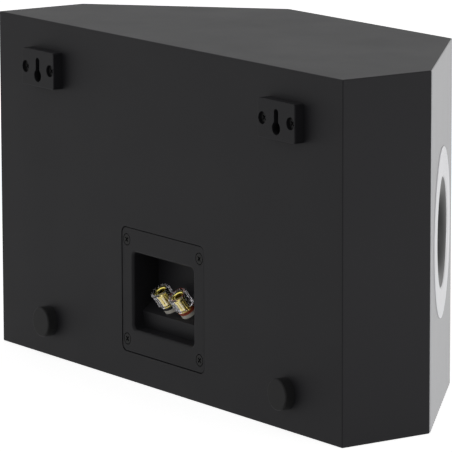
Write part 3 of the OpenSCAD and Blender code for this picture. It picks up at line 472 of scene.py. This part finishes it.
def carcass():
    """The wrapped cabinet as one solid with rounded outer edges."""
    top = bmesh.new()
    top.from_mesh(nodes["top_panel"].data)
    bmesh.ops.remove_doubles(top, verts=top.verts, dist=JOIN_WITHIN)
    z_top = max(v.co.z for v in top.verts)
    rim = [e for e in top.edges if all(v.co.z > z_top - SAME_PLACE for v in e.verts)
           and any(abs(f.normal.z) < 0.5 for f in e.link_faces)]
    start = rim[0].verts[0]
    outline, here, last = [], start, None
    while not outline or here is not start:
        outline.append(here.co.xy.copy())
        step = next(e for e in rim if here in e.verts and e is not last)
        here, last = step.other_vert(here), step
    top.free()
    bm = loft([[(p.x, p.y, z) for p in with_lip(outline)] for z in (0.0, z_top)])
    bmesh.ops.recalc_face_normals(bm, faces=bm.faces)
    edges = [e for e in bm.edges if e.calc_face_angle(0) > ROUNDED_ABOVE]
    bmesh.ops.bevel(bm, geom=edges, offset=EDGE, segments=4, profile=0.5, affect="EDGES",
                    clamp_overlap=True)
    return bm


def clipped(bm, planes):
    """Keeps what lies behind each plane, given as (point, normal away from the kept part)."""
    for point, normal in planes:
        cut = bmesh.ops.bisect_plane(bm, geom=bm.verts[:] + bm.edges[:] + bm.faces[:],
                                     plane_co=point, plane_no=normal, clear_outer=True)
        rim = [g for g in cut["geom_cut"] if isinstance(g, bmesh.types.BMEdge)]
        bmesh.ops.holes_fill(bm, edges=rim)
    return bm


def put_in_order(bm):
    """Orders vertices and faces by place, since rounding and cutting leave an order that varies."""
    for elements, place in ((bm.verts, lambda v: v.co[:]),
                            (bm.faces, lambda f: sorted(v.co[:] for v in f.verts))):
        for index, element in enumerate(sorted(elements, key=place)):
            element.index = index
        elements.sort()


def side_ends(name):
    """Where a side panel's outer and inner faces end towards the front."""
    points = [v.co for v in nodes[name].data.vertices]
    outer = max(abs(p.x) for p in points)
    inner = min(abs(p.x) for p in points)
    return [min((p for p in points if abs(abs(p.x) - x) < SAME_PLACE), key=lambda p: p.y)
            for x in (outer, inner)]


def make_cabinet():
    """The vinyl-wrapped boards, each cut from the whole carcass where its neighbours meet it."""
    wall = Y_BACK - INNER_BACK
    low = ((0, 0, wall), (0, 0, -1))
    high = ((0, 0, Z_TOP), (0, 0, 1))
    inside = ((0, INNER_BACK, 0), (0, -1, 0))
    pieces = {
        "top_panel": clipped(carcass(), [((0, 0, Z_TOP), (0, 0, -1))]),
        "bottom_panel": clipped(carcass(), [((0, 0, Z_LOW), (0, 0, 1))]),
        "back_panel": clipped(carcass(), [
            low, high, inside,
            ((X_RIGHT, Y_BACK, 0), (1, -1, 0)), ((X_LEFT, Y_BACK, 0), (-1, -1, 0)),
        ]),
    }
    for name, side in (("side_panel_left", -1), ("side_panel_right", 1)):
        outer, inner = side_ends(name)
        along = (outer - inner).xy
        pieces[name] = clipped(carcass(), [
            low, high, ((inner.x, 0, 0), (-side, 0, 0)),
            ((side * X_RIGHT, Y_BACK, 0), (-side, 1, 0)),
            (outer - Vector((0, 2 * LIP_RISE, 0)), (side * along.y, -side * along.x, 0)),
        ])
    for name, bm in pieces.items():
        put_in_order(bm)
        piece = mesh_object(name + "_wrapped", bm)
        if name == "back_panel":
            cut_back(piece)
        stand_in(shade(piece), VINYL, name)


def make_skin():
    """The silver skin, a little smaller at its ends and on top than the boards' lip."""
    bm = bmesh.new()
    bm.from_mesh(nodes["baffle_skin"].data)
    bmesh.ops.remove_doubles(bm, verts=bm.verts, dist=JOIN_WITHIN)
    top = max(v.co.z for v in bm.verts) - SKIN_INSET
    end = X_RIGHT - SKIN_INSET
    sheet = clipped(bm, [((0, 0, top), (0, 0, 1)), ((end, 0, 0), (1, 0, 0)),
                         ((-end, 0, 0), (-1, 0, 0))])
    stand_in(shade(mesh_object("skin_sheet", sheet)), SILVER, "baffle_skin")


def prism(outline, low, high, at):
    """A straight block on the back, between two depths."""
    return loft([on_back(outline, low, at), on_back(outline, high, at)])


def cut_back(piece):
    """Sinks the terminal plate's rebate into the back and opens the hole for the cup."""
    (x0, _, z0), (x1, _, z1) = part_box("terminal_cup")
    middle = (0, (z0 + z1) / 2)
    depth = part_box("terminal_gasket")[0][1] - Y_BACK
    seat = rounded_rectangle(x1 - x0 + 2 * PLATE_GAP, z1 - z0 + 2 * PLATE_GAP,
                             PLATE_CORNER + PLATE_GAP)
    cut_out(piece, prism(seat, depth, MM, middle))
    hole = rounded_rectangle(*CUP_HOLE, CUP_HOLE_CORNER, 2)
    cut_out(piece, prism(hole, -CUP_HOLE_DEPTH, depth + 0.5 * MM, middle))


# ---- Hangers -------------------------------------------------------------------------------------

KEY_R = 4.1 * MM
KEY_SLOT = 4.4 * MM
KEY_TRAVEL = 9.4 * MM
KEY_DROP = 4.6 * MM
KEY_POCKET = 1.1 * MM
HANGER_FACE = 2.6 * MM
HANGER_SCREW_X = 14.4 * MM
COUNTERBORE_R = 3.9 * MM
COUNTERBORE_AT = 3.4 * MM
SHANK_HOLE_R = 2.2 * MM
HANGER_CORNER = 1.5 * MM
HANGER_EDGE = 0.6 * MM


def circle(r, x, steps=48):
    """Points of a circle whose centre is at x on the middle line."""
    turns = [2 * math.pi * i / steps for i in range(steps)]
    return [(x + r * math.cos(turn), r * math.sin(turn)) for turn in turns]


def keyhole(grow, steps=24):
    """A round hole that runs up into a slot."""
    big, small = KEY_R + grow, KEY_SLOT / 2 + grow
    open_at = math.asin(small / big)
    points = []
    for i in range(2 * steps + 1):
        turn = math.pi / 2 + open_at + (2 * math.pi - 2 * open_at) * i / (2 * steps)
        points.append((big * math.cos(turn), big * math.sin(turn) - KEY_DROP))
    for i in range(steps + 1):
        turn = math.pi * i / steps
        points.append((small * math.cos(turn), small * math.sin(turn) + KEY_TRAVEL - KEY_DROP))
    return points


def merged(*parts):
    """Several bmeshes that don't touch, as one."""
    whole = parts[0]
    for part in parts[1:]:
        mesh = bpy.data.meshes.new("part")
        part.to_mesh(mesh)
        part.free()
        whole.from_mesh(mesh)
        bpy.data.meshes.remove(mesh)
    return whole


def make_hangers():
    """Keyhole blocks: a slotted face over a wider pocket, and a stepped screw hole at each end."""
    for name in ("hanger_left", "hanger_right"):
        (x0, y0, z0), (x1, y1, z1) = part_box(name)
        at = ((x0 + x1) / 2, (z0 + z1) / 2)
        deep = y1 - Y_BACK
        block = rounded_block(x1 - x0, z1 - z0, HANGER_CORNER, 0, deep, HANGER_EDGE, at)
        piece = mesh_object(name + "_block", block)
        out = deep + MM
        holes = [prism(keyhole(0), -MM, out, at)]
        wells = [prism(keyhole(KEY_POCKET), -2 * MM, deep - HANGER_FACE, at)]
        for x in (-HANGER_SCREW_X, HANGER_SCREW_X):
            holes.append(prism(circle(SHANK_HOLE_R, x), -MM, out, at))
            wells.append(prism(circle(COUNTERBORE_R, x), COUNTERBORE_AT, out + MM, at))
        cut_out(piece, merged(*holes))
        cut_out(piece, merged(*wells))
        stand_in(shade(piece), CUP, name)


# ---- Terminal cup --------------------------------------------------------------------------------

RECESS_W = 67.6 * MM
RECESS_H = 49.6 * MM
RECESS_CORNER = 3 * MM
MOUTH_ROUND = 1.8 * MM
MOUTH_STEPS = 8
FLAT_WITHIN = math.radians(0.5)


def solid_copy(name):
    """A node's shape as an object of its own, with its points joined."""
    bm = bmesh.new()
    bm.from_mesh(nodes[name].data)
    bmesh.ops.remove_doubles(bm, verts=bm.verts, dist=JOIN_WITHIN)
    bmesh.ops.dissolve_limit(bm, angle_limit=FLAT_WITHIN, verts=bm.verts, edges=bm.edges)
    return mesh_object(name + "_shaped", bm)


def make_cup():
    """The terminal plate with its recess, whose mouth is rounded."""
    (x0, _, z0), (x1, face, z1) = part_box("terminal_cup")
    at = ((x0 + x1) / 2, (z0 + z1) / 2)
    front = face - Y_BACK
    piece = solid_copy("terminal_cup")

    def mouth(grow, depth):
        outline = rounded_rectangle(RECESS_W + 2 * grow, RECESS_H + 2 * grow, RECESS_CORNER + grow)
        return on_back(outline, depth, at)

    loops = [mouth(MOUTH_ROUND, front + MM)]
    for i in range(MOUTH_STEPS + 1):
        turn = math.pi / 2 * i / MOUTH_STEPS
        loops.append(mouth(MOUTH_ROUND * (1 - math.sin(turn)),
                           front - MOUTH_ROUND * (1 - math.cos(turn))))
    cut_out(piece, loft(loops))
    stand_in(shade(piece), CUP, "terminal_cup")


# ---- Binding posts -------------------------------------------------------------------------------

POST_HALF_PITCH = 9.525 * MM
POST_LEAN = math.radians(37)
POST_DEPTH = 14 * MM
STEP_TOP = 45.5 * MM
RAMP_FRONT = 7.7 * MM
INSERT_R = 3.7 * MM
INSERT_HEAD_R = 4.54 * MM
INSERT_HEAD_T = 1.6 * MM
INSERT_BORE = 3.06 * MM
INSERT_LOW = 5.1 * MM
INSERT_TOP = 14.8 * MM
INSERT_LIP = 0.7 * MM
LIP_STEPS = 5
KNURLS = 20
KNURL_STEPS = 8
KNURL_H = 0.3 * MM
BAND_R = 6 * MM
BAND_BORE = 4.7 * MM
BAND_LOW = 4 * MM
BAND_TOP = 5.1 * MM
GROOVE = 0.5 * MM
GROOVE_R = 4.9 * MM


def revolved(profile, place, steps=96, ripple=None):
    """A closed ring from a closed profile of (radius, height) points, turned around local Z."""
    bm = bmesh.new()
    rows = []
    for i in range(steps):
        turn = 2 * math.pi * i / steps
        row = []
        for k, (r, z) in enumerate(profile):
            if ripple:
                r += ripple(k, i)
            row.append(bm.verts.new(place @ Vector((r * math.cos(turn), r * math.sin(turn), z))))
        rows.append(row)
    count = len(profile)
    for i in range(steps):
        a, b = rows[i], rows[(i + 1) % steps]
        for k in range(count):
            m = (k + 1) % count
            bm.faces.new((a[k], a[m], b[m], b[k]))
    return bm


def posts():
    """The colour of each post, and the place of its foot with local Z along it."""
    for name, side in (("red", -1), ("black", 1)):
        foot = Vector((side * POST_HALF_PITCH, Y_BACK - POST_DEPTH,
                       STEP_TOP + (POST_DEPTH - RAMP_FRONT) * math.tan(POST_LEAN)))
        yield name, Matrix.Translation(foot) @ Matrix.Rotation(-POST_LEAN, 4, "X")


def make_bands():
    """Each cap's coloured band, stepped in underneath, so that a dark line sets off the washer."""
    for name, place in posts():
        node = f"cap_band_{name}"
        profile = [(BAND_BORE, BAND_LOW), (GROOVE_R, BAND_LOW), (GROOVE_R, BAND_LOW + GROOVE),
                   (BAND_R, BAND_LOW + GROOVE), (BAND_R, BAND_TOP), (BAND_BORE, BAND_TOP)]
        piece = mesh_object(f"{node}_stepped", revolved(profile, place))
        stand_in(shade(piece), FINISHES[node], node)


def make_inserts():
    """Gold inserts: a rounded front ring over a knurled body that shows through the clear caps."""
    neck = INSERT_TOP - INSERT_HEAD_T
    root_r = INSERT_R - KNURL_H
    profile = [(INSERT_BORE, INSERT_LOW), (root_r, INSERT_LOW), (root_r, neck),
               (INSERT_HEAD_R, neck)]
    for inset, rise in quarter(INSERT_LIP, LIP_STEPS):
        profile.append((INSERT_HEAD_R - inset, INSERT_TOP + rise))
    for i in range(LIP_STEPS + 1):
        turn = math.pi / 2 * i / LIP_STEPS
        profile.append((INSERT_BORE + INSERT_LIP * (1 - math.sin(turn)),
                        INSERT_TOP - INSERT_LIP * (1 - math.cos(turn))))

    def ripple(k, i):
        """Raises the two points of the knurled body in a zigzag around the insert."""
        phase = (i % KNURL_STEPS) / KNURL_STEPS
        return 0.9 * KNURL_H * (1 - abs(2 * phase - 1)) if k in (1, 2) else 0.0

    for name, place in posts():
        ring = revolved(profile, place, KNURLS * KNURL_STEPS, ripple)
        piece = mesh_object(f"insert_{name}_knurled", ring)
        stand_in(shade(piece, 50), GOLD, f"cap_insert_{name}")


# ---- Woofer's spider and surround ----------------------------------------------------------------

CLOTH_T = 0.8 * MM
CLOTH_SHADE = 50
SURROUND_STEPS = 144
MOVING_GAP = 0.3 * MM
SPIDER_RIM = 5 * MM
SPIDER_WAVES = 4.5
SPIDER_STEPS = 54
GLUE_W = 1.2 * MM
GLUE_GAP = 0.1 * MM
FRONT_TURN = Matrix.Rotation(math.radians(90), 4, "X")


def facing_front(name):
    """A round node's place with local Z to the front, its radius, and its rear and front end."""
    (x0, y0, z0), (x1, y1, z1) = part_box(name)
    middle = Vector(((x0 + x1) / 2, 0, (z0 + z1) / 2))
    return Matrix.Translation(middle) @ FRONT_TURN, (x1 - x0) / 2, -y1, -y0


def make_spider():
    """A corrugated ring whose raised inner edge clears the coil when the cone is furthest out."""
    place, outer_r, seat, crest = facing_front("woofer_spider")
    inner_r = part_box("woofer_former")[1][0] + MOVING_GAP
    wave = (crest - seat - CLOTH_T) / 2
    flat_r = outer_r - SPIDER_RIM
    under = []
    for i in range(SPIDER_STEPS + 1):
        part = i / SPIDER_STEPS
        rise = wave * (1 - math.cos(2 * math.pi * SPIDER_WAVES * (1 - part)))
        under.append((inner_r + (flat_r - inner_r) * part, seat + rise))
    under.append((outer_r, seat))
    over = [(r, z + CLOTH_T) for r, z in reversed(under)]
    piece = mesh_object("woofer_spider_cloth", revolved(under + over, place))
    stand_in(shade(piece, CLOTH_SHADE), SPIDER, "woofer_spider")


def make_surround():
    """Two half rolls that meet at the crest, between the basket and the cone, left off the moving
    bodies.
    """
    place, seat_r, seat, crest = facing_front("woofer_surround")
    cone_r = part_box("woofer_cone")[1][0]
    roll = crest - seat - CLOTH_T
    thin = roll - CLOTH_T
    crest_r = cone_r + MOVING_GAP + roll
    foot = seat + CLOTH_T

    def arc(r, a0, a1, steps=10):
        turns = [a0 + (a1 - a0) * i / steps for i in range(steps + 1)]
        return [(crest_r + r * math.cos(t), foot + r * math.sin(t)) for t in turns]

    half = math.pi / 2
    outer = ([(seat_r, seat), (seat_r, foot)] + arc(roll, 0, half) + arc(thin, half, 0)
             + [(crest_r + thin, seat)])
    glue_r = cone_r - GLUE_W
    lip = foot + GLUE_GAP
    lip_top = lip + 0.7 * CLOTH_T
    inner = (arc(roll, half, math.pi)[:-1] + [(crest_r - roll + 0.05 * MM, lip_top)]
             + [(glue_r, lip_top), (glue_r, lip), (crest_r - thin, lip)]
             + arc(thin, math.pi, half)[1:])
    at_foot = Vector((0, -foot, 0))
    past_crest = Vector((0, -foot - 2 * (crest - foot), 0))
    for name, profile, start, end in (("outer", outer, at_foot, past_crest),
                                      ("inner", inner, past_crest, at_foot)):
        piece = mesh_object(f"woofer_surround_{name}", revolved(profile, place, SURROUND_STEPS))
        stand_in(shade(piece, CLOTH_SHADE), SURROUND, "woofer_surround", rides=False)
        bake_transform(piece)


add_camera()
add_lights()
make_world()
add_floor()
dress_nodes()
make_cabinet()
make_skin()
make_hangers()
make_cup()
make_inserts()
make_bands()
make_spider()
make_surround()

bpy.context.scene.view_settings.view_transform = "Standard"
